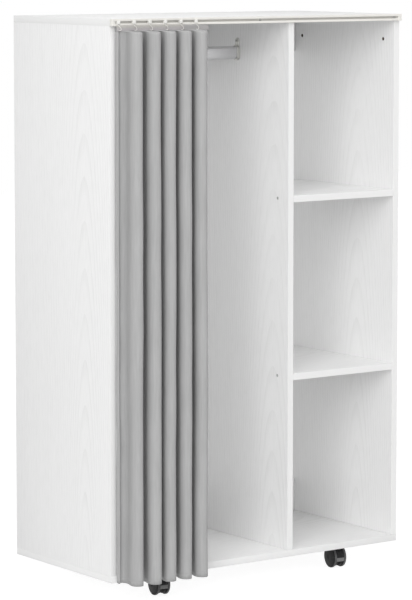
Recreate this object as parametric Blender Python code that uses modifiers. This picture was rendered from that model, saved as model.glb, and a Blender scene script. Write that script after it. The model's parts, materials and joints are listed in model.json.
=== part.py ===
# Curtain wardrobe on castors: board carcass with a hanging bay and a shelf bay,
# open at the back, and a gathered curtain that slides along a track across the front.
# Metres, +Z up, the front faces -Y. The origin is on the floor, under the middle.
import math

import bmesh
import bpy
from mathutils import Matrix, Vector

# Carcass
CARCASS_W = 0.800
CARCASS_D = 0.385
CARCASS_H = 1.225
BOARD_T = 0.015
LEFT_BAY_W = 0.4665
BACK_RAIL_H = 0.080
BOARD_ROUND = 0.0006
JOINT_GAP = 0.0003
CUT_OVERRUN = 0.002
WELD = 0.00001

# Two open pilot holes high on the inside of the right side panel
PILOT_R = 0.0040
PILOT_DEPTH = 0.010
PILOT_DROP = 0.043
PILOT_INSET = 0.040

# Shelf screws, through the divider and the right side into the shelf ends
SHELF_SCREW_HEAD_R = 0.0036
SHELF_SCREW_HEAD_H = 0.0012
SHELF_SCREW_R = 0.0025
SHELF_SCREW_LEN = 0.040
SHELF_SCREW_INSET = 0.040

# Hanging rail, an oval tube in two cup brackets
TUBE_W = 0.015
TUBE_H = 0.030
TUBE_WALL = 0.0012
TUBE_DROP = 0.072
CUP_WALL = 0.0030
CUP_DEPTH = 0.012
CUP_BASE = 0.0025
EAR_W = 0.014
EAR_RISE = 0.015
EAR_SCREW_HEAD_R = 0.0032
EAR_SCREW_HEAD_H = 0.0018
EAR_SCREW_R = 0.0017
EAR_SCREW_LEN = 0.013

# Curtain track, a plastic channel on the front edge of the top panel
TRACK_H = 0.015
TRACK_D = 0.008
TRACK_WALL = 0.0014
TRACK_SLOT = 0.0040
CAP_LEN = 0.010
CAP_PROUD = 0.0006
CAP_TONGUE_LEN = 0.0030
CAP_TONGUE_D = 0.0040
TRACK_SCREW_HEAD_R = 0.0030
TRACK_SCREW_HEAD_H = 0.0014
TRACK_SCREW_R = 0.0015
TRACK_SCREW_LEN = 0.014
TRACK_SCREW_INSET = 0.0175

# Gliders, each with a head in the channel, a block in front and a hook below it
GLIDER_COUNT = 6
FIRST_GLIDER = 0.0170
GLIDER_PITCH = 0.0408
GLIDER_W = 0.0080
GLIDER_HEAD_D = 0.0022
GLIDER_HEAD_H = 0.0090
GLIDER_BLOCK_D = 0.0022
GLIDER_BLOCK_H = 0.0076
GLIDER_CLEAR = 0.0003
HOOK_R = 0.0011
HOOK_SHY = 0.0030

# Curtain: a flat heading tape with the cloth gathered into folds below it
CLOTH_T = 0.0012
TAPE_H = 0.015
TAPE_SET_BACK = 0.0014
TAPE_OVERHANG = 0.0325
CLOTH_CLEAR = 0.0040
EDGE_INSET = 0.0120
FOLD_STEPS = 10
FOLD_SHIFT = 0.0130
EDGE_FOLD_CLOTH = 0.020
EDGE_FOLD_STEPS = 5
FIRST_FOLD_CLOTH = 0.134
FOLD_CLOTH = 0.142
LAST_FOLD_SHARE = 1.1
MAX_SWING = math.radians(135)
SWING_HALVINGS = 50
GATHER_DROP = 0.030
GATHER_ROWS = 3
LONG_ROWS = 5

# Castors: steel plate, hooded housing, axle and two wheels
CASTOR_H = 0.055
CASTOR_INSET_LEFT = 0.164
CASTOR_INSET_RIGHT = 0.138
CASTOR_INSET_Y = 0.047
CASTOR_TURN = math.radians(-7)
PLATE_SIDE = 0.038
PLATE_T = 0.002
PLATE_ROUND = 0.004
PLATE_SCREW_R = 0.0021
PLATE_SCREW_INSET = 0.006
WHEEL_R = 0.0255
WHEEL_W = 0.0145
TREAD_W = 0.0080
WHEEL_SIDES = 24
WHEEL_DOME = 0.0022
DOME_STEPS = 3
WHEEL_RIM = 0.0040
WHEEL_EDGE = 0.0015
WHEEL_GAP = 0.0005
WEB_T = 0.0060
TRAIL = 0.008
AXLE_R = 0.0025
AXLE_GRIP = 0.009
HOOD_DEPTH = 0.0005
HOOD_CLEAR = 0.0010
HOOD_WALL = 0.0015
HOOD_DIP = math.radians(20)
HOOD_TURN = math.radians(10)
NECK_R = 0.0085
PIVOT_R = 0.004
ROUND_SIDES = 24
SMALL_SIDES = 16


# Shape of one fold. The cloth's direction swings from side to side along its length,
# as cloth held between two hooks does, so a fold is known by its width and its cloth.
def swing_angle(share, swing):
    return swing * math.sin(2 * math.pi * share)


def fold_reach(swing, steps):
    return sum(math.cos(swing_angle((i + 0.5) / steps, swing)) for i in range(steps)) / steps


def fold_swing(width, cloth, steps):
    """The swing that fits this much cloth into the width, found by halving the interval."""
    low, high = 0.0, MAX_SWING
    for _ in range(SWING_HALVINGS):
        middle = (low + high) / 2
        if fold_reach(middle, steps) * cloth > width:
            low = middle
        else:
            high = middle
    return low


def fold_points(start_x, width, cloth, steps, used_steps):
    swing = fold_swing(width, cloth, steps)
    x, forward = start_x, 0.0
    points = []
    for i in range(used_steps):
        angle = swing_angle((i + 0.5) / steps, swing)
        x += cloth / steps * math.cos(angle)
        forward += cloth / steps * math.sin(angle)
        points.append((x, forward))
    return points


def glider_x(index):
    return -CARCASS_W / 2 + FIRST_GLIDER + index * GLIDER_PITCH


def curtain_columns():
    edge_x = -CARCASS_W / 2 + EDGE_INSET
    valley_x = [-CARCASS_W / 2 + FIRST_GLIDER]
    valley_x += [glider_x(i) + GLIDER_PITCH / 2 - FOLD_SHIFT for i in range(1, GLIDER_COUNT - 1)]
    columns = [(edge_x, 0.0)]
    columns += fold_points(edge_x, valley_x[0] - edge_x, EDGE_FOLD_CLOTH, EDGE_FOLD_STEPS, EDGE_FOLD_STEPS)
    for i in range(len(valley_x) - 1):
        cloth = FIRST_FOLD_CLOTH if i == 0 else FOLD_CLOTH
        columns += fold_points(valley_x[i], valley_x[i + 1] - valley_x[i], cloth, FOLD_STEPS, FOLD_STEPS)
    last_steps = round(FOLD_STEPS * LAST_FOLD_SHARE)
    columns += fold_points(valley_x[-1], GLIDER_PITCH, FOLD_CLOTH, FOLD_STEPS, last_steps)
    return columns


# Levels and planes that several pieces share
COLUMNS = curtain_columns()
CURTAIN_PROUD = CLOTH_CLEAR + CLOTH_T + max(forward for _, forward in COLUMNS)
FRONT_Y = (CURTAIN_PROUD - CARCASS_D) / 2
BACK_Y = FRONT_Y + CARCASS_D
LEFT_X = -CARCASS_W / 2
RIGHT_X = CARCASS_W / 2
FLOOR_BOARD_TOP = CASTOR_H + BOARD_T
CARCASS_TOP = CASTOR_H + CARCASS_H
TOP_BOARD_UNDER = CARCASS_TOP - BOARD_T
DIVIDER_LEFT = LEFT_X + BOARD_T + LEFT_BAY_W
DIVIDER_RIGHT = DIVIDER_LEFT + BOARD_T
SHELF_BAY_H = (TOP_BOARD_UNDER - FLOOR_BOARD_TOP - 2 * BOARD_T) / 3
TRACK_BACK_Y = FRONT_Y - JOINT_GAP
TRACK_FRONT_Y = TRACK_BACK_Y - TRACK_D
TRACK_UNDER = CARCASS_TOP - TRACK_H
TRACK_MID_Z = CARCASS_TOP - TRACK_H / 2
AXLE_Z = WHEEL_R * math.cos(math.pi / WHEEL_SIDES)
HOOD_R = WHEEL_R - HOOD_DEPTH
HOOD_W = WEB_T + 2 * (WHEEL_W - TREAD_W)


# Scene and helpers
for old in list(bpy.data.objects):
    bpy.data.objects.remove(old, do_unlink=True)

parts = bpy.data.collections.new("curtain_wardrobe")
cutters = bpy.data.collections.new("cutters")
bpy.context.scene.collection.children.link(parts)
bpy.context.scene.collection.children.link(cutters)


def material(name, color, roughness, metallic=0.0):
    made = bpy.data.materials.new(name)
    made.use_nodes = True
    shader = made.node_tree.nodes["Principled BSDF"]
    shader.inputs["Base Color"].default_value = (*color, 1.0)
    shader.inputs["Roughness"].default_value = roughness
    shader.inputs["Metallic"].default_value = metallic
    return made


def keep(obj, look):
    obj.data.materials.clear()
    obj.data.materials.append(look)
    parts.objects.link(obj)
    return obj


def guide(obj):
    obj.hide_render = True
    obj.display_type = "WIRE"
    cutters.objects.link(obj)
    return obj


def mesh_object(name, bm):
    mesh = bpy.data.meshes.new(name)
    bm.to_mesh(mesh)
    bm.free()
    return bpy.data.objects.new(name, mesh)


def box(name, low, high):
    bm = bmesh.new()
    bmesh.ops.create_cube(bm, size=1.0)
    low, high = Vector(low), Vector(high)
    bmesh.ops.scale(bm, vec=high - low, verts=bm.verts)
    obj = mesh_object(name, bm)
    obj.location = (low + high) / 2
    return obj


def rod(name, radius, start, end, sides):
    start, end = Vector(start), Vector(end)
    bm = bmesh.new()
    bmesh.ops.create_cone(bm, cap_ends=True, segments=sides, radius1=radius, radius2=radius,
                          depth=(end - start).length)
    obj = mesh_object(name, bm)
    obj.rotation_euler = (end - start).to_track_quat("Z", "Y").to_euler()
    obj.location = (start + end) / 2
    return obj


def turned(name, profile, sides):
    bm = bmesh.new()
    verts = [bm.verts.new((radius, 0.0, height)) for radius, height in profile]
    for first, second in zip(verts, verts[1:]):
        bm.edges.new((first, second))
    obj = mesh_object(name, bm)
    screw = obj.modifiers.new("turn", "SCREW")
    screw.steps = sides
    screw.render_steps = sides
    screw.use_merge_vertices = True
    screw.merge_threshold = WELD
    return obj


def extruded(name, loops, length):
    """Outlines in the Y-Z plane, drawn out along X from 0 to length."""
    curve = bpy.data.curves.new(name, "CURVE")
    curve.dimensions = "2D"
    curve.fill_mode = "BOTH"
    curve.extrude = length / 2
    for loop in loops:
        spline = curve.splines.new("POLY")
        spline.points.add(len(loop) - 1)
        spline.use_cyclic_u = True
        for point, (y, z) in zip(spline.points, loop):
            point.co = (y, z, 0.0, 1.0)
    obj = solid_from(name, bpy.data.objects.new(name, curve))
    turn = Matrix(((0, 0, 1, length / 2), (1, 0, 0, 0), (0, 1, 0, 0), (0, 0, 0, 1)))
    obj.data.transform(turn)
    return obj


def solid_from(name, source):
    """The evaluated shape of an object, where it stands, as a mesh object with welded caps."""
    parts.objects.link(source)
    bpy.context.view_layer.update()
    shaped = source.evaluated_get(bpy.context.evaluated_depsgraph_get())
    mesh = bpy.data.meshes.new_from_object(shaped)
    mesh.transform(source.matrix_world)
    bpy.data.objects.remove(source, do_unlink=True)
    bm = bmesh.new()
    bm.from_mesh(mesh)
    bpy.data.meshes.remove(mesh)
    bmesh.ops.remove_doubles(bm, verts=bm.verts, dist=WELD)
    bmesh.ops.recalc_face_normals(bm, faces=bm.faces)
    return mesh_object(name, bm)


def combine(obj, tool, operation):
    change = obj.modifiers.new(tool.name, "BOOLEAN")
    change.operation = operation
    change.object = tool
    return obj


def merged(name, base, steps):
    """One mesh from a base solid and a list of (tool, operation); the tools are used up."""
    for tool, operation in steps:
        guide(tool)
        combine(base, tool, operation)
    result = solid_from(name, base)
    for tool, _ in steps:
        bpy.data.objects.remove(tool, do_unlink=True)
    return result


def soften(obj, width, segments=2):
    bevel = obj.modifiers.new("rounded edges", "BEVEL")
    bevel.width = width
    bevel.segments = segments
    bevel.limit_method = "ANGLE"
    return obj


def smooth(obj, degrees=35):
    obj.data.shade_smooth()
    obj.data.set_sharp_from_angle(angle=math.radians(degrees))
    return obj


def arc(radius, start, end, steps, centre=(0.0, 0.0)):
    angles = [start + (end - start) * i / steps for i in range(steps + 1)]
    return [(centre[0] + radius * math.cos(a), centre[1] + radius * math.sin(a)) for a in angles]


def stadium(width, height):
    """Upright oval with straight sides and half-round ends."""
    rise = (height - width) / 2
    upper = arc(width / 2, 0.0, math.pi, SMALL_SIDES // 2, (0.0, rise))
    lower = arc(width / 2, math.pi, 2 * math.pi, SMALL_SIDES // 2, (0.0, -rise))
    return upper + lower


white_board = material("white_wood_grain_board", (0.84, 0.84, 0.83), 0.45)
rail_metal = material("chromed_tube", (0.70, 0.70, 0.71), 0.22, 1.0)
bracket_metal = material("grey_metal_bracket", (0.45, 0.45, 0.44), 0.35, 0.8)
steel = material("zinc_steel", (0.55, 0.55, 0.55), 0.35, 1.0)
white_plastic = material("white_plastic", (0.86, 0.86, 0.83), 0.40)
grey_cloth = material("grey_curtain_cloth", (0.42, 0.42, 0.42), 0.90)
black_plastic = material("black_plastic", (0.02, 0.02, 0.02), 0.45)


# Carcass boards
def board(name, low, high):
    return soften(keep(box(name, low, high), white_board), BOARD_ROUND)


top_panel = board("top_panel", (LEFT_X, FRONT_Y, TOP_BOARD_UNDER), (RIGHT_X, BACK_Y, CARCASS_TOP))
bottom_panel = board("bottom_panel", (LEFT_X, FRONT_Y, CASTOR_H), (RIGHT_X, BACK_Y, FLOOR_BOARD_TOP))


def upright(name, left_x):
    low = (left_x, FRONT_Y, FLOOR_BOARD_TOP + JOINT_GAP)
    return board(name, low, (left_x + BOARD_T, BACK_Y, TOP_BOARD_UNDER - JOINT_GAP))


left_side_panel = upright("left_side_panel", LEFT_X)
right_side_panel = upright("right_side_panel", RIGHT_X - BOARD_T)
centre_divider = upright("centre_divider", DIVIDER_LEFT)


def shelf(name, under_z):
    low = (DIVIDER_RIGHT + JOINT_GAP, FRONT_Y, under_z)
    return board(name, low, (RIGHT_X - BOARD_T - JOINT_GAP, BACK_Y, under_z + BOARD_T))


LOWER_SHELF_UNDER = FLOOR_BOARD_TOP + SHELF_BAY_H
UPPER_SHELF_UNDER = LOWER_SHELF_UNDER + BOARD_T + SHELF_BAY_H
shelves = {"lower": shelf("lower_shelf", LOWER_SHELF_UNDER), "upper": shelf("upper_shelf", UPPER_SHELF_UNDER)}


def back_rail(name, left_x, right_x, under_z):
    low = (left_x + JOINT_GAP, BACK_Y - BOARD_T, under_z)
    return board(name, low, (right_x - JOINT_GAP, BACK_Y, under_z + BACK_RAIL_H))


for bay, bay_left, bay_right in (
    ("left", LEFT_X + BOARD_T, DIVIDER_LEFT),
    ("right", DIVIDER_RIGHT, RIGHT_X - BOARD_T),
):
    back_rail(bay + "_top_back_rail", bay_left, bay_right, TOP_BOARD_UNDER - JOINT_GAP - BACK_RAIL_H)
    back_rail(bay + "_bottom_back_rail", bay_left, bay_right, FLOOR_BOARD_TOP + JOINT_GAP)

for index, y in enumerate((FRONT_Y + PILOT_INSET, BACK_Y - PILOT_INSET)):
    z = TOP_BOARD_UNDER - PILOT_DROP
    face_x = RIGHT_X - BOARD_T
    start = (face_x - CUT_OVERRUN, y, z)
    pilot = rod(f"pilot_cutter_{index}", PILOT_R, start, (face_x + PILOT_DEPTH, y, z), SMALL_SIDES)
    combine(right_side_panel, guide(pilot), "DIFFERENCE")


# Screws
def screw_profile(head_r, head_h, shank_r, length, clear=0.0, overrun=0.0):
    """Radius and height pairs from the top of the head down to the tip, head face at height 0."""
    return [
        (0.0, overrun),
        (head_r + clear, overrun),
        (head_r + clear, -head_h - clear),
        (shank_r + clear, -head_h - clear),
        (shank_r + clear, -length + shank_r),
        (0.0, -length - clear),
    ]


def aim(obj, head, direction):
    obj.rotation_euler = (-Vector(direction)).to_track_quat("Z", "Y").to_euler()
    obj.location = head
    return obj


def fit_screw(name, look, sizes, head, direction, carriers):
    """A screw with its flush head at a point, and its clearance hole in each carrier."""
    obj = aim(turned(name, screw_profile(*sizes), SMALL_SIDES), head, direction)
    keep(obj, look)
    bore = turned(name + "_cutter", screw_profile(*sizes, JOINT_GAP, CUT_OVERRUN), SMALL_SIDES)
    guide(aim(bore, head, direction))
    for carrier in carriers:
        combine(carrier, bore, "DIFFERENCE")


shelf_screw = (SHELF_SCREW_HEAD_R, SHELF_SCREW_HEAD_H, SHELF_SCREW_R, SHELF_SCREW_LEN)
shelf_screw_rows = (("front", FRONT_Y + SHELF_SCREW_INSET), ("rear", BACK_Y - SHELF_SCREW_INSET))
for level, under_z in (("lower", LOWER_SHELF_UNDER), ("upper", UPPER_SHELF_UNDER)):
    for place, y in shelf_screw_rows:
        z = under_z + BOARD_T / 2
        fit_screw(f"{level}_shelf_screw_divider_{place}", steel, shelf_screw, (DIVIDER_LEFT, y, z),
                  (1, 0, 0), (centre_divider, shelves[level]))
        fit_screw(f"{level}_shelf_screw_side_{place}", steel, shelf_screw, (RIGHT_X, y, z),
                  (-1, 0, 0), (right_side_panel, shelves[level]))


# Hanging rail and its brackets
TUBE_Y = (FRONT_Y + BACK_Y) / 2
TUBE_Z = TOP_BOARD_UNDER - TUBE_DROP
CUP_W = TUBE_W + 2 * (CUP_WALL + JOINT_GAP)
CUP_H = TUBE_H + 2 * (CUP_WALL + JOINT_GAP)
EAR_HOLE_Z = CUP_H / 2 + EAR_RISE - EAR_W / 2


def bracket_mesh():
    """A cup that opens towards +X, with a screw ear above it, its back at x = 0."""
    cup = extruded("cup", [stadium(CUP_W, CUP_H)], CUP_DEPTH)
    ear_top = arc(EAR_W / 2, 0.0, math.pi, SMALL_SIDES // 2, (0.0, EAR_HOLE_Z))
    ear = extruded("ear", [ear_top + [(-EAR_W / 2, 0.0), (EAR_W / 2, 0.0)]], CUP_BASE)
    seat = extruded("seat", [stadium(TUBE_W + 2 * JOINT_GAP, TUBE_H + 2 * JOINT_GAP)], CUP_DEPTH)
    seat.location.x = CUP_BASE
    hole_start = (-CUT_OVERRUN, 0.0, EAR_HOLE_Z)
    hole = rod("hole", EAR_SCREW_R + JOINT_GAP, hole_start, (CUP_DEPTH, 0.0, EAR_HOLE_Z), SMALL_SIDES)
    return merged("bracket", cup, [(ear, "UNION"), (seat, "DIFFERENCE"), (hole, "DIFFERENCE")]).data


bracket_shape = bracket_mesh()
for side, wall_x, facing, wall_panel in (
    ("left", LEFT_X + BOARD_T, 1, left_side_panel),
    ("right", DIVIDER_LEFT, -1, centre_divider),
):
    bracket = keep(bpy.data.objects.new(side + "_rail_bracket", bracket_shape), bracket_metal)
    bracket.rotation_euler.z = 0.0 if facing > 0 else math.pi
    bracket.location = (wall_x + facing * JOINT_GAP, TUBE_Y, TUBE_Z)
    head_x = wall_x + facing * (2 * JOINT_GAP + CUP_BASE + EAR_SCREW_HEAD_H)
    sizes = (EAR_SCREW_HEAD_R, EAR_SCREW_HEAD_H, EAR_SCREW_R, EAR_SCREW_LEN)
    fit_screw(side + "_bracket_screw", steel, sizes, (head_x, TUBE_Y, TUBE_Z + EAR_HOLE_Z),
              (-facing, 0, 0), (wall_panel,))

tube_start = LEFT_X + BOARD_T + CUP_BASE + 2 * JOINT_GAP
tube_length = LEFT_BAY_W - 2 * (CUP_BASE + 2 * JOINT_GAP)
tube_loops = [stadium(TUBE_W, TUBE_H), stadium(TUBE_W - 2 * TUBE_WALL, TUBE_H - 2 * TUBE_WALL)]
hanging_rail = keep(extruded("hanging_rail", tube_loops, tube_length), rail_metal)
hanging_rail.location = (tube_start, TUBE_Y, TUBE_Z)
smooth(hanging_rail)


# Curtain track with its end caps and screws
def track_outline():
    half = TRACK_H / 2
    inner = half - TRACK_WALL
    lip = TRACK_SLOT / 2
    front, back = TRACK_FRONT_Y, TRACK_BACK_Y
    upper = [(front, lip), (front, half), (back, half)]
    lower = [(back, -half), (front, -half), (front, -lip)]
    inside_low = [(front + TRACK_WALL, -lip), (front + TRACK_WALL, -inner), (back - TRACK_WALL, -inner)]
    inside_high = [(back - TRACK_WALL, inner), (front + TRACK_WALL, inner), (front + TRACK_WALL, lip)]
    return upper + lower + inside_low + inside_high


track_length = CARCASS_W - 2 * (CAP_LEN + JOINT_GAP)
curtain_track = keep(extruded("curtain_track", [track_outline()], track_length), white_plastic)
curtain_track.location = (LEFT_X + CAP_LEN + JOINT_GAP, 0.0, TRACK_MID_Z)


def end_cap(name, outer_x, inward):
    low_z = TRACK_UNDER - CAP_PROUD
    block_ends = sorted((outer_x, outer_x + inward * CAP_LEN))
    block = box(name, (block_ends[0], TRACK_FRONT_Y - CAP_PROUD, low_z), (block_ends[1], TRACK_BACK_Y, CARCASS_TOP))
    tip = outer_x + inward * (CAP_LEN + CAP_TONGUE_LEN)
    tongue_ends = sorted((outer_x + inward * CAP_LEN / 2, tip))
    back = TRACK_BACK_Y - TRACK_WALL - JOINT_GAP
    rise = TRACK_H / 2 - TRACK_WALL - JOINT_GAP
    tongue = box("tongue", (tongue_ends[0], back - CAP_TONGUE_D, TRACK_MID_Z - rise),
                 (tongue_ends[1], back, TRACK_MID_Z + rise))
    return keep(merged(name, block, [(tongue, "UNION")]), white_plastic)


end_cap("left_track_end_cap", LEFT_X, 1)
end_cap("right_track_end_cap", RIGHT_X, -1)

track_screw_head_y = TRACK_BACK_Y - TRACK_WALL - JOINT_GAP - TRACK_SCREW_HEAD_H
track_screw = (TRACK_SCREW_HEAD_R, TRACK_SCREW_HEAD_H, TRACK_SCREW_R, TRACK_SCREW_LEN)
for place, x in (
    ("left", LEFT_X + TRACK_SCREW_INSET),
    ("middle", (LEFT_X + RIGHT_X) / 2),
    ("right", RIGHT_X - TRACK_SCREW_INSET),
):
    fit_screw(f"track_screw_{place}", steel, track_screw, (x, track_screw_head_y, TRACK_MID_Z),
              (0, 1, 0), (top_panel, curtain_track))


# Gliders
TAPE_Y = TRACK_FRONT_Y + TAPE_SET_BACK
HOOK_Y = TAPE_Y - CLOTH_T / 2 - JOINT_GAP - HOOK_R


def glider_mesh():
    """Head, neck and block seen from the side, with a wire hook under the block; x = 0 is its middle."""
    lip_inner = TRACK_FRONT_Y + TRACK_WALL + GLIDER_CLEAR
    lip_outer = TRACK_FRONT_Y - GLIDER_CLEAR
    neck = TRACK_SLOT / 2 - GLIDER_CLEAR
    head_back = lip_inner + GLIDER_HEAD_D
    block_front = lip_outer - GLIDER_BLOCK_D
    head, block = GLIDER_HEAD_H / 2, GLIDER_BLOCK_H / 2
    above = [(block_front, block), (lip_outer, block), (lip_outer, neck), (lip_inner, neck),
             (lip_inner, head), (head_back, head)]
    below = [(y, -z) for y, z in reversed(above)]
    body = extruded("glider_body", [above + below], GLIDER_W)
    body.location.x = -GLIDER_W / 2
    top = (block_front + HOOK_R, -block + HOOK_R)
    bottom = (HOOK_Y, -TRACK_H / 2 - TAPE_H + HOOK_SHY)
    knee = (top[0], -TRACK_H / 2)
    wire = bpy.data.curves.new("hook", "CURVE")
    wire.dimensions = "3D"
    wire.bevel_depth = HOOK_R
    wire.bevel_resolution = 1
    wire.use_fill_caps = True
    spline = wire.splines.new("POLY")
    spline.points.add(2)
    for point, (y, z) in zip(spline.points, (top, knee, bottom)):
        point.co = (0.0, y, z, 1.0)
    hook = solid_from("hook", bpy.data.objects.new("hook", wire))
    return merged("glider", body, [(hook, "UNION")]).data


glider_shape = glider_mesh()
for i in range(GLIDER_COUNT):
    glider = keep(bpy.data.objects.new(f"glider_{i + 1}", glider_shape), white_plastic)
    glider.location = (glider_x(i), 0.0, TRACK_MID_Z)


# Curtain
def curtain_rows():
    """Height of each row of the cloth, with the share of the folds' depth it has there."""
    top = TRACK_UNDER - CAP_PROUD - JOINT_GAP
    hem = CASTOR_H
    tape_foot = top - TAPE_H
    rows = [(top, 0.0), (tape_foot, 0.0)]
    for i in range(1, GATHER_ROWS + 1):
        share = i / GATHER_ROWS
        rows.append((tape_foot - GATHER_DROP * share ** 2, math.sin(math.pi / 2 * share)))
    full = rows[-1][0]
    rows += [(full + (hem - full) * i / LONG_ROWS, 1.0) for i in range(1, LONG_ROWS + 1)]
    return rows


def curtain():
    rows = curtain_rows()
    last = len(COLUMNS) - 1
    bm = bmesh.new()
    bmesh.ops.create_grid(bm, x_segments=last, y_segments=len(rows) - 1, size=0.5)
    tape_start, tape_end = COLUMNS[0][0], glider_x(GLIDER_COUNT - 1) + TAPE_OVERHANG
    for vert in bm.verts:
        share = vert.co.x + 0.5
        x, forward = COLUMNS[round(share * last)]
        z, depth_share = rows[round((0.5 - vert.co.y) * (len(rows) - 1))]
        flat_x = tape_start + (tape_end - tape_start) * share
        fold_y = FRONT_Y - CLOTH_CLEAR - CLOTH_T / 2 - forward
        vert.co = (flat_x + (x - flat_x) * depth_share, TAPE_Y + (fold_y - TAPE_Y) * depth_share, z)
    obj = keep(mesh_object("curtain", bm), grey_cloth)
    skin = obj.modifiers.new("cloth thickness", "SOLIDIFY")
    skin.thickness = CLOTH_T
    skin.offset = 0.0
    return smooth(obj, 60)


curtain()


# Castors
def wheel_mesh():
    """One wheel, turned about Z: a hub that runs under the hood, then the tread and a domed face."""
    face_r = WHEEL_R - WHEEL_RIM
    dome_base = WHEEL_W - WHEEL_DOME
    shares = [i / DOME_STEPS for i in range(DOME_STEPS + 1)]
    dome = [(face_r * share, dome_base + WHEEL_DOME * (1 - share ** 2)) for share in shares]
    tread_start = WHEEL_W - TREAD_W
    hub_r = HOOD_R - HOOD_WALL - HOOD_CLEAR
    tread = [(WHEEL_R - WHEEL_EDGE, dome_base), (WHEEL_R, dome_base - WHEEL_EDGE),
             (WHEEL_R, tread_start), (hub_r, tread_start), (hub_r, 0.0)]
    bore_r = AXLE_R + JOINT_GAP
    bore = [(bore_r, 0.0), (bore_r, AXLE_GRIP - WHEEL_GAP + JOINT_GAP), (0.0, AXLE_GRIP - WHEEL_GAP + JOINT_GAP)]
    shape = solid_from("wheel", turned("wheel", dome + tread + bore, WHEEL_SIDES))
    shape.data.transform(Matrix.Rotation(math.pi / WHEEL_SIDES, 4, "Z"))
    return smooth(shape).data


def housing_mesh():
    """Hood, web and neck of one castor: axle along X at the origin, swivel axis at y = -TRAIL."""
    inner, outer = HOOD_R - HOOD_WALL, HOOD_R
    start, end = -HOOD_DIP, math.pi + HOOD_DIP
    hood_steps = round((end - start) / HOOD_TURN)
    band = arc(outer, start, end, hood_steps) + arc(inner, end, start, hood_steps)
    hood = extruded("hood", [band], HOOD_W)
    hood.location.x = -HOOD_W / 2
    boss_r = 2 * AXLE_R + HOOD_WALL
    middle = (inner + outer) / 2
    web_loop = arc(middle, 0.0, math.pi, round(math.pi / HOOD_TURN)) + arc(boss_r, math.pi, 2 * math.pi, SMALL_SIDES // 2)
    bore_loop = arc(AXLE_R + JOINT_GAP, 0.0, 2 * math.pi, SMALL_SIDES)[:-1]
    web = extruded("web", [web_loop, bore_loop], WEB_T)
    web.location.x = -WEB_T / 2
    plate_under = CASTOR_H - JOINT_GAP - PLATE_T - AXLE_Z
    neck = rod("neck", NECK_R, (0, -TRAIL, 0), (0, -TRAIL, plate_under - JOINT_GAP), ROUND_SIDES)
    pivot_top = CASTOR_H - 2 * JOINT_GAP - AXLE_Z
    pivot = rod("pivot", PIVOT_R, (0, -TRAIL, middle), (0, -TRAIL, pivot_top), SMALL_SIDES)
    room = rod("room", middle, (-HOOD_W, 0, 0), (HOOD_W, 0, 0), 2 * ROUND_SIDES)
    neck = merged("neck_above_hood", neck, [(room, "DIFFERENCE"), (pivot, "UNION")])
    steps = [(web, "UNION"), (neck, "UNION")]
    return smooth(merged("housing", hood, steps)).data


def plate_mesh():
    """Square steel plate with a pivot hole and four screw holes; z = 0 is its underside."""
    half = PLATE_SIDE / 2
    corner = half - PLATE_ROUND
    bm = bmesh.new()
    bmesh.ops.create_cube(bm, size=1.0)
    bmesh.ops.scale(bm, vec=(PLATE_SIDE, PLATE_SIDE, PLATE_T), verts=bm.verts)
    upright_edges = [e for e in bm.edges if abs(e.verts[0].co.z - e.verts[1].co.z) > PLATE_T / 2]
    bmesh.ops.bevel(bm, geom=upright_edges, offset=PLATE_ROUND, segments=3, affect="EDGES", profile=0.5)
    plate = mesh_object("plate", bm)
    screw_place = half - PLATE_SCREW_INSET
    holes = [(PIVOT_R + JOINT_GAP, 0.0, 0.0)]
    holes += [(PLATE_SCREW_R, x, y) for x in (-screw_place, screw_place) for y in (-screw_place, screw_place)]
    steps = []
    for radius, x, y in holes:
        steps.append((rod("hole", radius, (x, y, -PLATE_T), (x, y, PLATE_T), SMALL_SIDES), "DIFFERENCE"))
    return merged("plate", plate, steps).data


wheel_shape = wheel_mesh()
housing_shape = housing_mesh()
plate_shape = plate_mesh()
axle_half = WEB_T / 2 + AXLE_GRIP


def castor(corner, swivel_x, swivel_y):
    plate = keep(bpy.data.objects.new(corner + "_castor_plate", plate_shape), steel)
    plate.location = (swivel_x, swivel_y, CASTOR_H - JOINT_GAP - PLATE_T / 2)
    swivel = bpy.data.objects.new(corner + "_castor_swivel", None)
    parts.objects.link(swivel)
    swivel.location = (swivel_x, swivel_y, AXLE_Z)
    swivel.rotation_euler.z = CASTOR_TURN
    housing = keep(bpy.data.objects.new(corner + "_castor_housing", housing_shape), black_plastic)
    axle = keep(rod(corner + "_castor_axle", AXLE_R, (-axle_half, 0, 0), (axle_half, 0, 0), SMALL_SIDES), steel)
    wheels = []
    for side, outward in (("left", -1), ("right", 1)):
        wheel = keep(bpy.data.objects.new(f"{corner}_castor_{side}_wheel", wheel_shape), black_plastic)
        wheel.rotation_euler.y = outward * math.pi / 2
        wheel.location.x = outward * (WEB_T / 2 + WHEEL_GAP)
        wheels.append(wheel)
    for piece in (housing, axle, *wheels):
        piece.parent = swivel
        piece.location.y += TRAIL


for end_name, y in (("front", FRONT_Y + CASTOR_INSET_Y), ("rear", BACK_Y - CASTOR_INSET_Y)):
    for side_name, x in (("left", LEFT_X + CASTOR_INSET_LEFT), ("right", RIGHT_X - CASTOR_INSET_RIGHT)):
        castor(f"{end_name}_{side_name}", x, y)
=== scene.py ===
# Curtain wardrobe on castors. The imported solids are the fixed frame. Each section gives one group
# of pieces its finish, or replaces its plain solids with finer pieces, in the order of assembly.
import json
import math

import bmesh
import bpy
from mathutils import Matrix, Vector, noise


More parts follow.
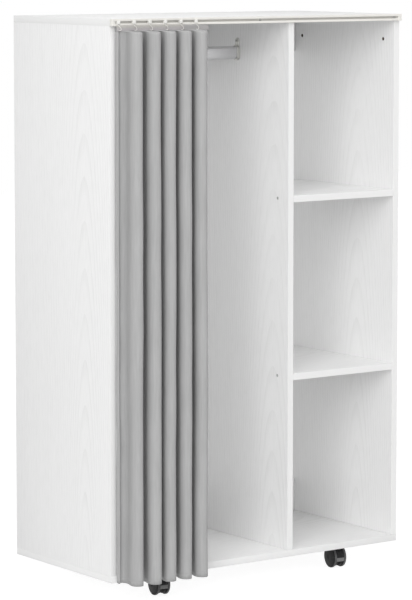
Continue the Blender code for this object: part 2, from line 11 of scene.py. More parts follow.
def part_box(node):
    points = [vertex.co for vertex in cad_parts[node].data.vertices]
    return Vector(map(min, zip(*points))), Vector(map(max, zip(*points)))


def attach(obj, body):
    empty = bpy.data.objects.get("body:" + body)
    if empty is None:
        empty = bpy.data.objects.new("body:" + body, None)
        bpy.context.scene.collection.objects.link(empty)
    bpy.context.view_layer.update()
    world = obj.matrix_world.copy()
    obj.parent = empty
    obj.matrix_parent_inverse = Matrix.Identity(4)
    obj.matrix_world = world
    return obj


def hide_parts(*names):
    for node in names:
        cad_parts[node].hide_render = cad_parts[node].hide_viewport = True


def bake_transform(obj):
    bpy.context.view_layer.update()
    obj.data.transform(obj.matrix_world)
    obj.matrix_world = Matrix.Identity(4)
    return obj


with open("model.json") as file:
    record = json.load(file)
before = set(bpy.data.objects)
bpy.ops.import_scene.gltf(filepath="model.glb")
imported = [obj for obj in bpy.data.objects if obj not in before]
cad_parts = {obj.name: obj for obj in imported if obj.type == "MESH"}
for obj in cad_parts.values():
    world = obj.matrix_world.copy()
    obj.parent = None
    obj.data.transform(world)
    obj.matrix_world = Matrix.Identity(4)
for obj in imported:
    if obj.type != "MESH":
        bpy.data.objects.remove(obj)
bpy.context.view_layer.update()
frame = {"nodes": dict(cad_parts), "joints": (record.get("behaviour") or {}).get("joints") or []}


# Boards: sides, divider, top, bottom, shelves and back rails are 15 mm particle board faced with
# white melamine that is pressed with a wood grain. The cut edges carry plain white edge tape.
# They are held by dowels and connector bolts inside the boards, so only the fine joints show.
BOARD_WHITE = (0.876, 0.876, 0.875, 1.0)
GRAIN_TINT = (0.745, 0.745, 0.741, 1.0)
TAPE_WHITE = (0.835, 0.835, 0.832, 1.0)
# Raw particle board inside the pilot holes, painted darker than bare board as painted shade in the holes.
RAW_BOARD_IN_SHADE = (0.130, 0.100, 0.072, 1.0)
BOARD_ROUGHNESS = 0.46
SMOOTHER, ROUGHER = 0.05, 0.06
NOISE_BAND = (0.3, 0.7)
WAVE_TURN = 20
RING_PITCH = 0.0062
LATE_WOOD_FROM = 0.55
FIGURE_WEIGHT = 0.42
FIGURE_PORES = 0.6
HEART_DEPTH = 0.034
HEART_TILT = math.radians(3.6)
HEART_SHARE = 0.26
HEART_WANDER = 0.11
WANDER_TURN = 2.3
UPRIGHT_STEP, LEVEL_STEP, RAIL_STEP = 0.37, 0.41, 0.29
GRAIN_STRETCH = 22.0
FIBRE_SCALE = 420.0
FIBRE_BAND = (0.42, 0.68)
FIBRE_WEIGHT = 0.26
PATCH_BAND = (0.30, 0.62)
FAINTEST_PATCH = 0.25
FACE_BAND = (0.6, 0.9)
GRAIN_RELIEF = 0.00022
GRAIN_STRENGTH = 0.35
PILOT_R = 0.0040
PILOT_RIM = 0.0002
PILOT_DROP = 0.043
PILOT_INSET = 0.040
RAW_START, RAW_FULL = 0.0001, 0.0003
EDGE_ROUND = 0.0002
SIDE_REACH = 0.00005
LEVEL_REACH = 0.0002
SHARP_FROM = math.radians(38)


def add_node(tree, kind, feeds=None, **settings):
    """A shader node with its settings. Feeds gives its sockets values or other nodes' outputs."""
    made = tree.nodes.new("ShaderNode" + kind)
    for name, value in settings.items():
        setattr(made, name, value)
    for socket, value in (feeds or {}).items():
        if isinstance(value, bpy.types.NodeSocket):
            tree.links.new(value, made.inputs[socket])
        else:
            made.inputs[socket].default_value = value
    return made


def new_finish(name, sockets):
    """A material, its node tree and its Principled shader with the named sockets set."""
    look = bpy.data.materials.new(name)
    look.use_nodes = True
    shader = look.node_tree.nodes["Principled BSDF"]
    for socket, value in sockets.items():
        shader.inputs[socket].default_value = value
    return look, look.node_tree, shader


def rescaled(tree, value, low, high, to_low=0.0, to_high=1.0):
    """The value's share between low and high, held to 0 to 1, spread over a new range."""
    feeds = {"Value": value, "From Min": low, "From Max": high, "To Min": to_low, "To Max": to_high}
    return add_node(tree, "MapRange", feeds).outputs["Result"]


def reckoned(tree, operation, first, second=0.0):
    return add_node(tree, "Math", {0: first, 1: second}, operation=operation).outputs["Value"]


def product(tree, first, second):
    return reckoned(tree, "MULTIPLY", first, second)


def blended_color(tree, share, first, second):
    return add_node(tree, "MixRGB", {"Fac": share, "Color1": first, "Color2": second}).outputs["Color"]


def speckle(tree, place, scale, detail):
    """A noise over a place. Most of its values lie in NOISE_BAND."""
    return add_node(tree, "TexNoise", {"Vector": place, "Scale": scale, "Detail": detail}).outputs["Fac"]


def wave_scale(pitch):
    """The Wave texture's scale that sets its lines this far apart."""
    return 2 * math.pi / (WAVE_TURN * pitch)


def roughened(tree, shader, pattern, low, high):
    """Spreads the shader's roughness from low to high by a noise."""
    tree.links.new(rescaled(tree, pattern, *NOISE_BAND, low, high), shader.inputs["Roughness"])


def add_relief(tree, shader, height, depth, strength=1.0):
    """Bump of the given real depth in metres on the shader's normal."""
    bump = add_node(tree, "Bump", {"Height": height, "Distance": depth, "Strength": strength})
    tree.links.new(bump.outputs["Normal"], shader.inputs["Normal"])


def bored_share(tree, place):
    """1 inside the two pilot holes of the right side panel and 0 elsewhere."""
    low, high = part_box("right_side_panel")
    hole_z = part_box("top_panel")[0].z - PILOT_DROP
    flat = add_node(tree, "VectorMath", {0: place, 1: (0, 1, 1)}, operation="MULTIPLY").outputs["Vector"]
    distances = [
        add_node(tree, "VectorMath", {0: flat, 1: (0, y, hole_z)}, operation="DISTANCE").outputs["Value"]
        for y in (low.y + PILOT_INSET, high.y - PILOT_INSET)
    ]
    depth = add_node(tree, "SeparateXYZ", {"Vector": place}).outputs["X"]
    within = rescaled(tree, reckoned(tree, "MINIMUM", *distances), PILOT_R + PILOT_RIM, PILOT_R)
    return product(tree, within, rescaled(tree, depth, low.x + RAW_START, low.x + RAW_FULL))


def board_finish(name, thin_axis, heart, turn, bored):
    """White melamine with the growth rings of a plank whose heart runs through the given point."""
    look, tree, shader = new_finish(name, {"Roughness": BOARD_ROUGHNESS})
    coords = add_node(tree, "TexCoord")
    plank = add_node(
        tree, "Mapping",
        {"Vector": coords.outputs["Object"], "Location": heart, "Rotation": turn,
         "Scale": (1, 1, GRAIN_STRETCH)},
        vector_type="TEXTURE",
    ).outputs["Vector"]
    rings = add_node(
        tree, "TexWave",
        {"Vector": plank, "Scale": wave_scale(RING_PITCH), "Distortion": 2.2, "Detail": 2.0,
         "Detail Scale": 0.35, "Detail Roughness": 0.55},
        wave_type="RINGS", rings_direction="Z", wave_profile="SAW",
    ).outputs["Fac"]
    fibres = speckle(tree, plank, scale=FIBRE_SCALE, detail=3.0)
    fine_lines = rescaled(tree, fibres, *FIBRE_BAND)
    patches = speckle(tree, plank, scale=22.0, detail=2.0)
    late_wood = rescaled(tree, rings, LATE_WOOD_FROM, 1.0)
    figure = product(tree, late_wood, rescaled(tree, patches, *PATCH_BAND, FAINTEST_PATCH, 1.0))
    faced = add_node(
        tree, "VectorMath", {0: coords.outputs["Normal"], 1: thin_axis}, operation="DOT_PRODUCT"
    ).outputs["Value"]
    on_face = rescaled(tree, reckoned(tree, "ABSOLUTE", faced), *FACE_BAND)
    grain = reckoned(
        tree, "ADD", product(tree, figure, FIGURE_WEIGHT), product(tree, fine_lines, FIBRE_WEIGHT)
    )
    grained = blended_color(tree, product(tree, grain, on_face), BOARD_WHITE, GRAIN_TINT)
    color = blended_color(tree, on_face, TAPE_WHITE, grained)
    # Inside the pilot holes: raw particle board with painted shade, darker than the bare board.
    if bored:
        color = blended_color(tree, bored_share(tree, coords.outputs["Object"]), color, RAW_BOARD_IN_SHADE)
    tree.links.new(color, shader.inputs["Base Color"])
    roughened(tree, shader, fibres, BOARD_ROUGHNESS - SMOOTHER, BOARD_ROUGHNESS + ROUGHER)
    pores = reckoned(tree, "ADD", product(tree, figure, FIGURE_PORES), fine_lines)
    add_relief(tree, shader, product(tree, pores, on_face), -GRAIN_RELIEF, GRAIN_STRENGTH)
    return look


def dress_board(name, order):
    """Gives a board its own plank: uprights grow along Z, level boards and rails along X."""
    low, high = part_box(name)
    middle, size = (low + high) / 2, high - low
    thin = min(range(3), key=lambda axis: size[axis])
    wander = HEART_WANDER * math.sin(WANDER_TURN * order)
    if thin == 0:
        heart_y = low.y + size.y * (HEART_SHARE + wander)
        heart = (middle.x - HEART_DEPTH, heart_y, low.z - UPRIGHT_STEP * order)
        turn = (0.0, -HEART_TILT, 0.0)
    elif thin == 2:
        heart_y = low.y + size.y * (1 - HEART_SHARE + wander)
        heart = (low.x - LEVEL_STEP * order, heart_y, middle.z - HEART_DEPTH)
        turn = (0.0, math.pi / 2 + HEART_TILT, 0.0)
    else:
        heart = (low.x - RAIL_STEP * order, middle.y + HEART_DEPTH, middle.z + size.z * wander)
        turn = (0.0, math.pi / 2, -HEART_TILT)
    thin_axis = tuple(float(axis == thin) for axis in range(3))
    bored = name == "right_side_panel"
    look = board_finish("white_wood_grain_" + name, thin_axis, heart, turn, bored)
    frame["nodes"][name].material_slots[0].material = look


def block(low, high):
    """A plain block between two corners."""
    bm = bmesh.new()
    bmesh.ops.create_cube(bm, size=1.0)
    bmesh.ops.scale(bm, vec=high - low, verts=bm.verts)
    bmesh.ops.translate(bm, vec=(low + high) / 2, verts=bm.verts)
    return bm


def rounded(bm, edges, width, segments=2):
    bmesh.ops.bevel(bm, geom=list(edges), offset=width, segments=segments, affect="EDGES",
                    profile=0.5, material=-1)


def mesh_from(name, bm):
    """A mesh with the shape's faces. The shape itself is freed."""
    mesh = bpy.data.meshes.new(name)
    bm.to_mesh(mesh)
    bm.free()
    return mesh


def in_scene(name, data):
    """A new object with this data, in the scene."""
    thing = bpy.data.objects.new(name, data)
    bpy.context.scene.collection.objects.link(thing)
    return thing


def settle(name, bm, look, body, stands_for=(), second_look=None):
    """Makes the shape a piece with its finish, riding on its body in place of its CAD nodes."""
    mesh = mesh_from(name, bm)
    mesh.materials.append(look)
    if second_look:
        mesh.materials.append(second_look)
    mesh.shade_smooth()
    mesh.set_sharp_from_angle(angle=SHARP_FROM)
    piece = in_scene(name, mesh)
    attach(piece, body)
    if stands_for:
        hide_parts(*stands_for)


def crisp_board(name, below, above):
    """A board in place of its solid, with crisp taped edges, that reaches up to its neighbours."""
    low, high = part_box(name)
    low.z, high.z = low.z - below, high.z + above
    bm = block(low, high)
    rounded(bm, bm.edges, EDGE_ROUND)
    look = frame["nodes"][name].material_slots[0].material
    settle(name + "_taped", bm, look, "root", [name])


BOARDS = [
    "left_side_panel", "right_side_panel", "centre_divider", "top_panel", "bottom_panel",
    "lower_shelf", "upper_shelf", "left_top_back_rail", "left_bottom_back_rail",
    "right_top_back_rail", "right_bottom_back_rail",
]
for order, board in enumerate(BOARDS):
    dress_board(board, order)
crisp_board("left_side_panel", SIDE_REACH, SIDE_REACH)
crisp_board("top_panel", LEVEL_REACH, 0.0)
crisp_board("bottom_panel", 0.0, LEVEL_REACH)


# Shelf screws: zinc-plated furniture screws through the divider and the right side into the ends
# of the shelves. Each has a flush flat head with a hexagonal socket for a key.
STEEL_GREY = (0.50, 0.50, 0.49, 1.0)
SOCKET_DEPTH = 0.0022
SOCKET_FLOOR = 0.7
HEAD_FLAT = 0.8
HEAD_EDGE = 0.0004
SCREW_STEPS = 24
HEXAGON_SHARES = (1.0, 0.897, 0.866, 0.897)
SHELF_SCREW = {"head_h": 0.0012, "shank_r": 0.0025, "recess_r": 0.0021, "recess_shares": HEXAGON_SHARES}
NEARLY = 1.01
WELD = 0.000002


def own_place(tree):
    """The piece's own coordinates, in metres."""
    return add_node(tree, "TexCoord").outputs["Object"]


def metal_finish(name, color, metallic, scale, detail, rough, depth):
    """Metal with a fine mottle that varies its gloss over a range and dents it a little."""
    look, tree, shader = new_finish(name, {"Metallic": metallic, "Base Color": color})
    mottle = speckle(tree, own_place(tree), scale, detail)
    roughened(tree, shader, mottle, *rough)
    add_relief(tree, shader, mottle, depth)
    return look


def faced_out(bm):
    """Turns the faces of one closed shape outwards."""
    bmesh.ops.recalc_face_normals(bm, faces=bm.faces)
    if bm.calc_volume(signed=True) < 0:
        bmesh.ops.reverse_faces(bm, faces=bm.faces)


def spun(outline, steps):
    """A closed shape turned about Z from (radius, height) pairs."""
    bm = bmesh.new()
    verts = [bm.verts.new((radius, 0.0, height)) for radius, height in outline]
    edges = [bm.edges.new(pair) for pair in zip(verts, verts[1:])]
    bmesh.ops.spin(bm, geom=verts + edges, cent=(0, 0, 0), axis=(0, 0, 1), angle=2 * math.pi,
                   steps=steps, use_merge=True)
    bmesh.ops.remove_doubles(bm, verts=bm.verts, dist=WELD)
    faced_out(bm)
    return bm


def screw_mesh(head_r, length, head_h, shank_r, recess_r, recess_shares):
    """A screw along -Z with its head face at height 0 and a driver recess of the given outline."""
    outline = [
        (0.0, -SOCKET_DEPTH), (recess_r * SOCKET_FLOOR, -SOCKET_DEPTH), (recess_r, 0.0),
        (head_r * HEAD_FLAT, 0.0), (head_r - HEAD_EDGE, 0.0), (head_r, -HEAD_EDGE), (head_r, -head_h),
        (shank_r, -head_h - HEAD_EDGE), (shank_r, -length + shank_r), (0.0, -length),
    ]
    bm = spun(outline, SCREW_STEPS)
    for vert in bm.verts:
        radius = math.hypot(vert.co.x, vert.co.y)
        if vert.co.z > -SOCKET_DEPTH * NEARLY and 0 < radius < recess_r * NEARLY:
            step = round(math.atan2(vert.co.y, vert.co.x) / (2 * math.pi) * SCREW_STEPS)
            share = recess_shares[step % len(recess_shares)]
            vert.co.x *= share
            vert.co.y *= share
    return bm


def aimed(place, direction):
    """The matrix that puts a shape made along +Z at a place, pointing in a direction."""
    turn = Vector(direction).to_track_quat("Z", "Y").to_matrix().to_4x4()
    return Matrix.Translation(place) @ turn


def fit_screw(node, ending, facing, kind):
    """Puts a screw in place of its node, with its head at the end that faces this way."""
    low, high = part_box(node)
    size, facing = high - low, Vector(facing)
    length = abs(size.dot(facing))
    shape = screw_mesh(size.z / 2, length, **kind)
    shape.transform(aimed((low + high) / 2 + facing * length / 2, facing))
    settle(node + ending, shape, zinc_steel, "root", [node])


zinc_steel = metal_finish("zinc_plated_steel", STEEL_GREY, metallic=1.0, scale=900.0, detail=3.0,
                          rough=(0.26, 0.46), depth=0.00003)
for level in ("lower", "upper"):
    for end, way in (("divider", -1), ("side", 1)):
        for row in ("front", "rear"):
            fit_screw(f"{level}_shelf_screw_{end}_{row}", "_hex_head", (way, 0, 0), SHELF_SCREW)


# Rail brackets: two grey die-cast cups that hold the ends of the hanging rail, each fixed by one
# cross-head screw through its ear. The cups have rounded rims, and the ears are thin and flat.
BRACKET_GREY = (0.66, 0.66, 0.63, 1.0)
OVAL_W = 0.015
OVAL_H = 0.030
CUP_WALL = 0.0028
CUP_BASE = 0.0025
CUP_RIM = 0.0007
CUP_DEPTH = 0.0070
EAR_W = 0.014
OVAL_STEPS = 40
CROSS_SHARES = (1.0, 1.035, 0.536, 0.379, 0.536, 1.035)
BRACKET_SCREW = {"head_h": 0.0016, "shank_r": 0.0017, "recess_r": 0.0019, "recess_shares": CROSS_SHARES}


def oval_ring(bm, width, height, x):
    """An upright oval loop of vertices in the plane of this x: half circles with straight sides."""
    ring = bmesh.ops.create_circle(bm, segments=OVAL_STEPS, radius=width / 2)["verts"]
    rise = (height - width) / 2
    for vert in ring:
        side, up = vert.co.x, vert.co.y
        shift = rise if up > WELD else -rise if up < -WELD else 0.0
        vert.co = (x, side, up + shift)
    return ring


def joined_rings(bm, rings):
    """Walls between each loop of vertices and the next."""
    for first, second in zip(rings, rings[1:]):
        edges = {edge for vert in first + second for edge in vert.link_edges
                 if edge.is_wire or edge.is_boundary}
        loops = [edge for edge in edges
                 if all(v in first for v in edge.verts) or all(v in second for v in edge.verts)]
        bmesh.ops.bridge_loops(bm, edges=loops)


def extruded(bm, faces, way):
    """Extrudes faces by a vector."""
    grown = bmesh.ops.extrude_face_region(bm, geom=faces)["geom"]
    bmesh.ops.translate(bm, vec=way, verts=[part for part in grown if isinstance(part, bmesh.types.BMVert)])


def cup_mesh():
    """A cup that opens towards +X with its back at x = 0."""
    bm = bmesh.new()
    outer_w = OVAL_W + 2 * CUP_WALL
    steps = [
        (outer_w - 2 * CUP_RIM, 0.0), (outer_w, CUP_RIM), (outer_w, CUP_DEPTH - CUP_RIM),
        (outer_w - 2 * CUP_RIM, CUP_DEPTH), (OVAL_W + 3 * CUP_RIM, CUP_DEPTH),
        (OVAL_W + CUP_RIM, CUP_DEPTH - CUP_RIM), (OVAL_W + CUP_RIM, CUP_BASE),
    ]
    rings = [oval_ring(bm, width, width + OVAL_H - OVAL_W, x) for width, x in steps]
    joined_rings(bm, rings)
    bmesh.ops.contextual_create(bm, geom=rings[0])
    bmesh.ops.contextual_create(bm, geom=rings[-1])
    faced_out(bm)
    return bm


def ear_mesh(top_z, base_z):
    """The flat ear above the cup: a bar with a round top and a chamfered front."""
    bm = bmesh.new()
    round_z = top_z - EAR_W / 2
    rim = bmesh.ops.create_circle(bm, cap_ends=True, segments=OVAL_STEPS, radius=EAR_W / 2)["verts"]
    for vert in rim:
        side, up = vert.co.x, vert.co.y
        vert.co = (0.0, side, round_z + up if up > -WELD else base_z)
    bmesh.ops.remove_doubles(bm, verts=bm.verts, dist=WELD)
    extruded(bm, list(bm.faces), (CUP_BASE, 0, 0))
    front = [face for face in bm.faces if all(v.co.x > CUP_BASE / 2 for v in face.verts)]
    bmesh.ops.inset_region(bm, faces=front, thickness=CUP_RIM, depth=0.0)
    border = {v for face in bm.faces for v in face.verts if v.co.x > CUP_BASE / 2}
    for vert in border - {v for face in front for v in face.verts}:
        vert.co.x -= CUP_RIM
    faced_out(bm)
    return bm


def add_shape(target, part):
    """Adds one closed shape's faces to another's and frees it."""
    mesh = mesh_from("part", part)
    target.from_mesh(mesh)
    bpy.data.meshes.remove(mesh)


cast_grey = metal_finish("grey_die_cast_metal", BRACKET_GREY, metallic=0.9, scale=1400.0, detail=4.0,
                         rough=(0.34, 0.52), depth=0.00005)
for side, way in (("left", 1), ("right", -1)):
    node = side + "_rail_bracket"
    low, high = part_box(node)
    oval_z = low.z + OVAL_H / 2 + CUP_WALL
    bracket = cup_mesh()
    add_shape(bracket, ear_mesh(high.z - oval_z, OVAL_H / 2))
    back = (low.x if way > 0 else high.x, (low.y + high.y) / 2, oval_z)
    turn = Matrix.Rotation(0.0 if way > 0 else math.pi, 4, "Z")
    bracket.transform(Matrix.Translation(back) @ turn)
    settle(node + "_cast", bracket, cast_grey, "root", [node])
    fit_screw(side + "_bracket_screw", "_cross_head", (way, 0, 0), BRACKET_SCREW)


# Hanging rail: an oval steel tube, chrome plated, cut square and dropped into the two cups. It
# has a rolled wall of 1.2 mm and the faint lines that polishing leaves along it.
CHROME = (0.72, 0.72, 0.73, 1.0)
TUBE_WALL = 0.0012


def stretched(tree, place, scale):
    """The place, scaled along each axis."""
    return add_node(tree, "Mapping", {"Vector": place, "Scale": scale}).outputs["Vector"]


def chrome_finish():
    look, tree, shader = new_finish("polished_chrome_plate", {"Metallic": 1.0, "Base Color": CHROME})
    lines = speckle(tree, stretched(tree, own_place(tree), (4.0, 900.0, 900.0)), scale=1.0, detail=3.0)
    roughened(tree, shader, lines, low=0.14, high=0.26)
    add_relief(tree, shader, lines, depth=0.00001)
    return look


low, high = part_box("hanging_rail")
outer_w, outer_h = high.y - low.y, high.z - low.z
inner_w, inner_h = outer_w - 2 * TUBE_WALL, outer_h - 2 * TUBE_WALL
rail = bmesh.new()
rings = [
    oval_ring(rail, inner_w, inner_h, high.x), oval_ring(rail, inner_w, inner_h, low.x),
    oval_ring(rail, outer_w, outer_h, low.x), oval_ring(rail, outer_w, outer_h, high.x),
]
joined_rings(rail, rings + rings[:1])
faced_out(rail)
bmesh.ops.translate(rail, vec=(0, (low.y + high.y) / 2, (low.z + high.z) / 2), verts=rail.verts)
settle("hanging_rail_tube", rail, chrome_finish(), "root", ["hanging_rail"])


# Curtain track: a white extruded plastic channel with a slot along its front, screwed through its
# back wall to the front edge of the top panel, and closed by a moulded cap at each end.
TRACK_WHITE = (0.80, 0.785, 0.745, 1.0)
MARK_BAND = (0.35, 0.65)
MARK_SHARE = 0.5
MARK_SHADE = 0.93
TRACK_WALL = 0.0014
TRACK_SLOT = 0.0050
TRACK_EDGE = 0.00035
CAP_EDGE = 0.0006
CAP_GROOVE = 0.0003
TONGUE_L = 0.0030
TONGUE_D = 0.0025
TONGUE_BACK_GAP = 0.0003
TONGUE_END_GAP = 0.0004
TRACK_SCREW = {"head_h": 0.0014, "shank_r": 0.0015, "recess_r": 0.0018, "recess_shares": CROSS_SHARES}


def shaded(color, share):
    """The colour with its brightness at this share."""
    return tuple(value * share for value in color[:3]) + (1.0,)


def moulded_finish(name, color, lines):
    """Satin plastic; lines stretches its fine flow marks along X, as on an extrusion."""
    look, tree, shader = new_finish(name, {"Base Color": color, "Specular IOR Level": 0.5})
    marks = speckle(tree, stretched(tree, own_place(tree), (1.0 / lines, 1.0, 1.0)), scale=1100.0, detail=3.0)
    shade = rescaled(tree, marks, *MARK_BAND, to_high=MARK_SHARE)
    tree.links.new(blended_color(tree, shade, color, shaded(color, MARK_SHADE)), shader.inputs["Base Color"])
    roughened(tree, shader, marks, low=0.36, high=0.50)
    add_relief(tree, shader, marks, depth=0.00004)
    return look


def slab(bm, low, high, edge):
    """A block between two corners, with rounded edges, added to the shape."""
    part = block(Vector(low), Vector(high))
    rounded(part, part.edges, edge)
    add_shape(bm, part)


track_plastic = moulded_finish("white_extruded_plastic", TRACK_WHITE, lines=60.0)
track_low, track_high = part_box("curtain_track")
mid_z, half, lip = (track_low.z + track_high.z) / 2, (track_high.z - track_low.z) / 2, TRACK_SLOT / 2
inside_front, inside_back = track_low.y + TRACK_WALL, track_high.y - TRACK_WALL
inside = half - TRACK_WALL
upper_half = [
    (track_high.y, half), (track_low.y, half), (track_low.y, lip), (inside_front, lip),
    (inside_front, inside), (inside_back, inside),
]
outline = upper_half + [(y, -z) for y, z in reversed(upper_half)]
track = bmesh.new()
corners = [track.verts.new((track_low.x, y, mid_z + z)) for y, z in outline]
extruded(track, [track.faces.new(corners)], (track_high.x - track_low.x, 0, 0))
track.normal_update()
rounded(track, [e for e in track.edges if abs(e.verts[0].co.x - e.verts[1].co.x) > half], TRACK_EDGE)
faced_out(track)
settle("curtain_track_channel", track, track_plastic, "root", ["curtain_track"])

cap_plastic = moulded_finish("white_moulded_plastic", TRACK_WHITE, lines=1.0)
for side, inward in (("left", 1), ("right", -1)):
    node = side + "_track_end_cap"
    low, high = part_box(node)
    near_x = low.x + (TONGUE_L if inward < 0 else 0.0)
    far_x = high.x - (TONGUE_L if inward > 0 else 0.0)
    cap = bmesh.new()
    slab(cap, (near_x, low.y, mid_z + lip), (far_x, high.y, high.z), CAP_EDGE)
    slab(cap, (near_x, low.y, low.z), (far_x, high.y, mid_z - lip), CAP_EDGE)
    slab(cap, (near_x + CAP_GROOVE, low.y + CAP_GROOVE, low.z + CAP_EDGE),
         (far_x - CAP_GROOVE, high.y - CAP_GROOVE, high.z - CAP_EDGE), CAP_EDGE / 2)
    tongue_back, tongue_half = high.y - TRACK_WALL - TONGUE_BACK_GAP, inside - TONGUE_END_GAP
    slab(cap, (low.x + CAP_EDGE, tongue_back - TONGUE_D, mid_z - tongue_half),
         (high.x - CAP_EDGE, tongue_back, mid_z + tongue_half), CAP_EDGE / 2)
    settle(node + "_moulded", cap, cap_plastic, "root", [node])

for place in ("left", "middle", "right"):
    fit_screw("track_screw_" + place, "_cross_head", (0, -1, 0), TRACK_SCREW)


# Gliders: six small white nylon sliders. Each has a head inside the channel, a neck through the
# slot and a rounded block in front, with a bent wire hook below it that holds the heading tape.
GLIDER_WHITE = (0.86, 0.85, 0.82, 1.0)
GLIDER_NUMBERS = range(1, 7)
GLIDER_EDGE = 0.0006
BLOCK_HALF_H = 0.0038
NECK_HALF_H = 0.0016
NECK_INSET = 0.001
NECK_LAP = 0.0008
HEAD_HALF_H = 0.0045
SLOT_CLEAR = 0.0003
HOOK_WIRE_R = 0.0007
HOOK_STEPS = 8
HOOK_SLANT = 0.0056
HOOK_FOOT = 0.0106
# Along the wire: share of the slant, distance in front, and height over the block's foot or the
# wire's lowest point.
HOOK_SHANK = ((-0.38, -0.0008, 0.0006), (-0.38, 0.0, -0.0010), (-0.15, 0.0006, -0.0034),
              (0.55, 0.0012, -0.0064))
HOOK_BEND = ((1.0, 0.0012, 0.0046), (0.92, 0.0012, 0.0018), (0.45, 0.0010, 0.0), (-0.05, 0.0006, 0.0010))


def wire(bm, points, radius):
    """A closed round wire along a line of points, added to the shape."""
    part = bmesh.new()
    centres = [Vector(point) for point in points]
    rings = []
    for i, centre in enumerate(centres):
        along = centres[min(i + 1, len(centres) - 1)] - centres[max(i - 1, 0)]
        ring = bmesh.ops.create_circle(part, segments=HOOK_STEPS, radius=radius)["verts"]
        bmesh.ops.transform(part, matrix=aimed(centre, along), verts=ring)
        rings.append(ring)
    joined_rings(part, rings)
    bmesh.ops.contextual_create(part, geom=rings[0])
    bmesh.ops.contextual_create(part, geom=rings[-1])
    faced_out(part)
    add_shape(bm, part)


glider_nylon = moulded_finish("white_nylon", GLIDER_WHITE, lines=1.0)
slot_front = track_low.y
for number in GLIDER_NUMBERS:
    node = f"glider_{number}"
    low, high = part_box(node)
    block_foot, middle_x = mid_z - BLOCK_HALF_H, (low.x + high.x) / 2
    glider = bmesh.new()
    slab(glider, (low.x, low.y, block_foot),
         (high.x, slot_front - SLOT_CLEAR, mid_z + BLOCK_HALF_H), GLIDER_EDGE)
    slab(glider, (low.x + NECK_INSET, slot_front - NECK_LAP, mid_z - NECK_HALF_H),
         (high.x - NECK_INSET, high.y - NECK_INSET, mid_z + NECK_HALF_H), GLIDER_EDGE)
    slab(glider, (low.x, slot_front + TRACK_WALL + SLOT_CLEAR, mid_z - HEAD_HALF_H),
         (high.x, high.y, mid_z + HEAD_HALF_H), GLIDER_EDGE)
    hook_y = low.y + HOOK_WIRE_R
    hook = [
        (middle_x + HOOK_SLANT * slant, hook_y - ahead, base_z + rise)
        for base_z, bends in ((block_foot, HOOK_SHANK), (track_low.z - HOOK_FOOT, HOOK_BEND))
        for slant, ahead, rise in bends
    ]
    wire(glider, hook, HOOK_WIRE_R)
    body = {1: "root", 6: "lead_glider_body"}.get(number, f"glider_{number}_body")
    settle(node + "_moulded", glider, glider_nylon, body, [node])


# Curtain: one grey woven cloth, gathered by a flat heading tape that the gliders' hooks hold. It
# is hemmed at its foot and hangs in one deep fold from each glider to the next.
CLOTH_GREY = (0.420, 0.420, 0.420, 1.0)
CLOTH_PALE, CLOTH_DEEP = 1.05, 0.93
CLOTH_BAND = (0.38, 0.62)
SLUB_SHARE, CLOUD_SHARE = 0.55, 0.45
THREAD_PITCH = 0.0009
THREAD_RELIEF = 0.35
STITCH_PITCH = 0.0032
STITCH_BAND = (0.3, 0.6)
STITCH_GAP = 0.35
STITCH_SHADE = 0.55
STITCH_RELIEF = 2.5
SEAM_BAND = (0.0004, 0.0012)
HEM_H = 0.012
CLOTH_T = 0.0008
CLOTH_CLEAR = 0.0040
CLOTH_BACK_GAP = 0.0001
EDGE_INSET = 0.0120
EDGE_FOLD_W = 0.0050
EDGE_FOLD_CLOTH = 0.020
EDGE_STEPS = 8
FOLD_CLOTHS = (0.1445, 0.1580, 0.1485, 0.1485, 0.1510)
LAST_FOLD_SHARE = 1.1
FOLD_SHIFT = 0.0160
FIRST_VALLEY_SHIFT = 0.0055
FOLD_STEPS = 22
MAX_SWING = math.radians(135)
HALVINGS = 40
TAPE_TOP = 0.0018
TAPE_H = 0.0136
TAPE_OVERHANG = 0.0325
TAPE_T = 0.0005
SEAM_LAP = 0.0024
GATHER_DROP = 0.024
GATHER_ROWS = 14
GATHER_CROWDING = 5
GATHER_FULLNESS = 4
LONG_ROWS = 58
LOOSE_RATE = 2.5
# Each unevenness: its size, its pace along the cloth and down it, and its seed.
SWAYS = ((0.0022, 9.0, 3.2, 4.1), (0.0011, 9.0, 9.0, 9.7))
DEPTH_CHANGE = (0.07, 5.0, 2.4, 1.3)

panel_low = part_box("bottom_panel")[0]
front_y, left_x, hem_z = panel_low.y, panel_low.x, panel_low.z
glider_places = [sum((p.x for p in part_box(f"glider_{n}")), 0.0) / 2 for n in GLIDER_NUMBERS]
pitch = glider_places[1] - glider_places[0]


def swing_angle(share, swing):
    return swing * math.sin(2 * math.pi * share)


def fold_line(start_x, width, cloth, steps, used_steps):
    """Along one fold, whose cloth swings from side to side: (x, forward, tape x, own width)."""
    low_swing, high_swing = 0.0, MAX_SWING
    for _ in range(HALVINGS):
        swing = (low_swing + high_swing) / 2
        reach = sum(math.cos(swing_angle((i + 0.5) / steps, swing)) for i in range(steps)) / steps
        if reach * cloth > width:
            low_swing = swing
        else:
            high_swing = swing
    x, forward, points = start_x, 0.0, []
    for i in range(used_steps):
        angle = swing_angle((i + 0.5) / steps, low_swing)
        x += cloth / steps * math.cos(angle)
        forward += cloth / steps * math.sin(angle)
        points.append((x, forward, start_x + width * (i + 1) / steps, cloth / steps))
    return points


